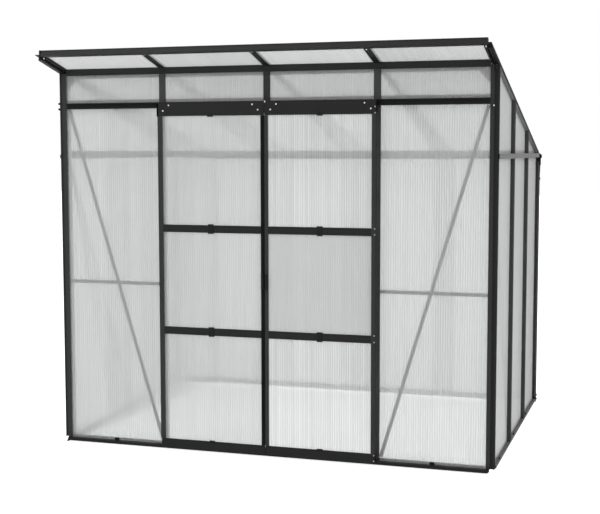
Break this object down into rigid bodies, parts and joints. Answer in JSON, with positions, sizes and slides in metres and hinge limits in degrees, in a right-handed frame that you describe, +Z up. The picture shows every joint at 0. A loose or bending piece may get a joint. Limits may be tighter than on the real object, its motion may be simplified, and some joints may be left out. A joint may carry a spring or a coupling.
{
  "type": "lean to greenhouse",
  "caption": "Single-pitch greenhouse with a dark metal frame and twin-wall glazing, sliding front doors on rollers in a top track, and a rear gutter with a rainwater spout.",
  "frame": {"origin": "on the ground, under the middle of the whole building's bounding box", "axes": "+Z up; +X to the right of a person who faces the doors from outside; -Y out of the door front, +Y towards the low rear wall and its gutter"},
  "size_m": [2.5896, 2.3152, 2.3031],
  "materials": {
    "post": "dark satin powder coat",
    "sill": "dark satin powder coat",
    "glazing_bar": "dark satin powder coat",
    "beam": "dark satin powder coat",
    "gutter_beam": "dark satin powder coat",
    "rafter": "dark satin powder coat",
    "fascia": "dark satin powder coat",
    "side_rail": "dark satin powder coat",
    "brace": "dark satin powder coat",
    "door_frame": "dark satin powder coat",
    "roller": "moulded nylon",
    "wall_sheet": "clear twin-wall sheet with upright flutes",
    "roof_sheet": "clear twin-wall sheet with flutes down the slope",
    "door_sheet": "clear twin-wall sheet with upright flutes"
  },
  "bodies": {
    "frame": {"front_left_post": "post", "front_right_post": "post", "rear_left_post": "post", "rear_right_post": "post", "front_sill": "sill", "rear_sill": "sill", "left_sill": "sill", "right_sill": "sill", "left_jamb": "glazing_bar", "right_jamb": "glazing_bar", "centre_mullion": "glazing_bar", "rear_left_bar": "glazing_bar", "rear_centre_bar": "glazing_bar", "rear_right_bar": "glazing_bar", "left_front_bar": "glazing_bar", "left_rear_bar": "glazing_bar", "right_front_bar": "glazing_bar", "right_rear_bar": "glazing_bar", "front_beam": "beam", "header_rail": "beam", "rear_gutter_beam": "gutter_beam", "left_gable_rafter": "rafter", "right_gable_rafter": "rafter", "left_rafter": "rafter", "centre_rafter": "rafter", "right_rafter": "rafter", "fascia": "fascia", "left_side_rail": "side_rail", "right_side_rail": "side_rail", "left_mid_brace": "brace", "right_mid_brace": "brace", "left_front_diagonal": "brace", "right_front_diagonal": "brace", "left_side_diagonal": "brace", "right_side_diagonal": "brace", "left_front_sheet": "wall_sheet", "right_front_sheet": "wall_sheet", "transom_sheet": "wall_sheet", "left_side_sheet": "wall_sheet", "right_side_sheet": "wall_sheet", "rear_sheet": "wall_sheet", "roof_sheet": "roof_sheet"},
    "left_door": {"left_door_outer_stile": "door_frame", "left_door_inner_stile": "door_frame", "left_door_top_rail": "door_frame", "left_door_upper_rail": "door_frame", "left_door_lower_rail": "door_frame", "left_door_bottom_rail": "door_frame", "left_door_sheet": "door_sheet"},
    "right_door": {"right_door_outer_stile": "door_frame", "right_door_inner_stile": "door_frame", "right_door_top_rail": "door_frame", "right_door_upper_rail": "door_frame", "right_door_lower_rail": "door_frame", "right_door_bottom_rail": "door_frame", "right_door_sheet": "door_sheet"},
    "left_outer_roller": {"left_door_outer_roller": "roller"},
    "left_inner_roller": {"left_door_inner_roller": "roller"},
    "right_outer_roller": {"right_door_outer_roller": "roller"},
    "right_inner_roller": {"right_door_inner_roller": "roller"}
  },
  "joints": [
    {"name": "left_door_slide", "type": "slide", "parent": "frame", "child": "left_door", "axis": [-1, 0, 0], "range_m": [0, 0.6]},
    {"name": "right_door_slide", "type": "slide", "parent": "frame", "child": "right_door", "axis": [1, 0, 0], "range_m": [0, 0.6]},
    {"name": "left_outer_roller_spin", "type": "hinge", "parent": "left_door", "child": "left_outer_roller", "pos_m": [-0.574, -0.89241, 1.9943], "axis": [0, 1, 0], "continuous": true},
    {"name": "left_inner_roller_spin", "type": "hinge", "parent": "left_door", "child": "left_inner_roller", "pos_m": [-0.0695, -0.89241, 1.9943], "axis": [0, 1, 0], "continuous": true},
    {"name": "right_outer_roller_spin", "type": "hinge", "parent": "right_door", "child": "right_outer_roller", "pos_m": [0.574, -0.89241, 1.9943], "axis": [0, 1, 0], "continuous": true},
    {"name": "right_inner_roller_spin", "type": "hinge", "parent": "right_door", "child": "right_inner_roller", "pos_m": [0.0695, -0.89241, 1.9943], "axis": [0, 1, 0], "continuous": true}
  ],
  "couplings": [
    {"joint": "left_outer_roller_spin", "follows": "left_door_slide", "rad_per_m": -76.923},
    {"joint": "left_inner_roller_spin", "follows": "left_door_slide", "rad_per_m": -76.923},
    {"joint": "right_outer_roller_spin", "follows": "right_door_slide", "rad_per_m": 76.923},
    {"joint": "right_inner_roller_spin", "follows": "right_door_slide", "rad_per_m": 76.923}
  ]
}
